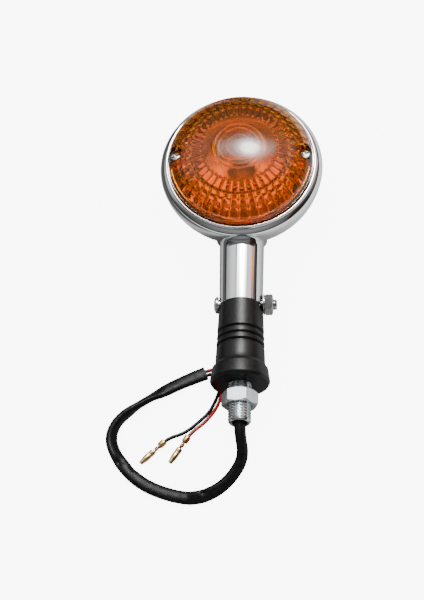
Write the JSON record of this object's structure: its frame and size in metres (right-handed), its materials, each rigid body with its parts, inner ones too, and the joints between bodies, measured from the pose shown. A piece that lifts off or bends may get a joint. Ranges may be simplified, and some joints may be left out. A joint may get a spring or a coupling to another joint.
{
  "type": "turn signal indicator",
  "caption": "Round chrome indicator lamp with a ribbed amber lens on a tube stalk, with a rubber damper, a hollow threaded mounting stud and nut, and a sleeved lead with bullet terminals.",
  "frame": {"origin": "centre of the damper's flat seating face, on the axis of the mounting stud", "axes": "+Y along the stalk to the lamp, +Z along the lens axis, so -Y is the way the stud points; the lamp lies on its back on z = -13 mm"},
  "size_m": [0.0942, 0.1864, 0.046],
  "materials": {
    "chrome": "mirror-bright chrome plate over sheet steel",
    "amber_lens": "transparent amber, ribbed inside",
    "gasket_rubber": "pale grey silicone sheet",
    "bright_steel": "bright zinc plate",
    "zinc_steel": "blue-white zinc plate",
    "tin_steel": "pressed tinplate",
    "reflector_silver": "vacuum-silvered",
    "phenolic": "dark phenolic board",
    "black_glass": "black vitrite",
    "brass": "bright brass",
    "solder": "dull solder",
    "bulb_glass": "clear glass",
    "tungsten": "bare wire",
    "spring_steel": "bare spring wire",
    "damper_rubber": "satin black rubber",
    "core_steel": "black-oxide steel",
    "black_vinyl": "satin black vinyl tube",
    "black_wire_vinyl": "satin black insulation",
    "red_wire_vinyl": "satin red insulation"
  },
  "bodies": {
    "mount": {"mounting_stud": "zinc_steel", "damper_rubber": "damper_rubber", "wire_sleeve": "black_vinyl", "black_wire": "black_wire_vinyl", "red_wire": "red_wire_vinyl", "black_terminal": "brass", "red_terminal": "brass", "inner_red_wire": "red_wire_vinyl", "inner_black_wire": "black_wire_vinyl"},
    "lamp": {"housing": "chrome", "stalk": "chrome", "reflector": "reflector_silver", "reflector_rivets": "tin_steel", "socket_bracket": "tin_steel", "bracket_rivets": "tin_steel", "socket_shell": "tin_steel", "clamp_bolt": "bright_steel", "clamp_washer": "bright_steel", "damper_core": "core_steel", "lens_nuts": "zinc_steel", "contact_spring": "spring_steel"},
    "lens": {"lens": "amber_lens", "lens_gasket": "gasket_rubber"},
    "lens_screw_left": {"lens_screw_left": "bright_steel"},
    "lens_screw_right": {"lens_screw_right": "bright_steel"},
    "bulb": {"bulb_cap": "brass", "bulb_insulator": "black_glass", "bulb_contact": "solder", "bulb_glass": "bulb_glass", "bulb_filament": "tungsten"},
    "contact": {"contact_carrier": "phenolic", "contact_plunger": "brass"},
    "clamp_nut": {"clamp_nut": "bright_steel"},
    "mounting_nut": {"mounting_nut": "zinc_steel"}
  },
  "joints": [
    {"name": "damper_flex", "type": "hinge", "parent": "mount", "child": "lamp", "pos_m": [0, 0.0206, 0], "axis": [1, 0, 0], "range_deg": [-8, 8], "stiffness_Nm_per_rad": 6, "deforming": ["damper_rubber", "inner_red_wire", "inner_black_wire"]},
    {"name": "lens_lift", "type": "slide", "parent": "lamp", "child": "lens", "axis": [0, 0, 1], "range_m": [0, 0.025]},
    {"name": "lens_screw_left_turn", "type": "hinge", "parent": "lens", "child": "lens_screw_left", "pos_m": [-0.0284, 0.1013, 0.015], "axis": [0, 0, 1], "continuous": true},
    {"name": "lens_screw_right_turn", "type": "hinge", "parent": "lens", "child": "lens_screw_right", "pos_m": [0.0284, 0.1013, 0.015], "axis": [0, 0, 1], "continuous": true},
    {"name": "bulb_twist", "type": "hinge", "parent": "lamp", "child": "bulb", "pos_m": [0, 0.1005, 0], "axis": [0, 0, 1], "range_deg": [-20, 0]},
    {"name": "contact_press", "type": "slide", "parent": "lamp", "child": "contact", "axis": [0, 0, 1], "range_m": [-0.0012, 0], "stiffness_N_per_m": 600, "deforming": ["contact_spring"]},
    {"name": "clamp_nut_turn", "type": "hinge", "parent": "lamp", "child": "clamp_nut", "pos_m": [0.0121, 0.0382, 0], "axis": [1, 0, 0], "continuous": true},
    {"name": "mounting_nut_turn", "type": "hinge", "parent": "mount", "child": "mounting_nut", "pos_m": [0, -0.0069, 0], "axis": [0, 1, 0], "continuous": true}
  ]
}
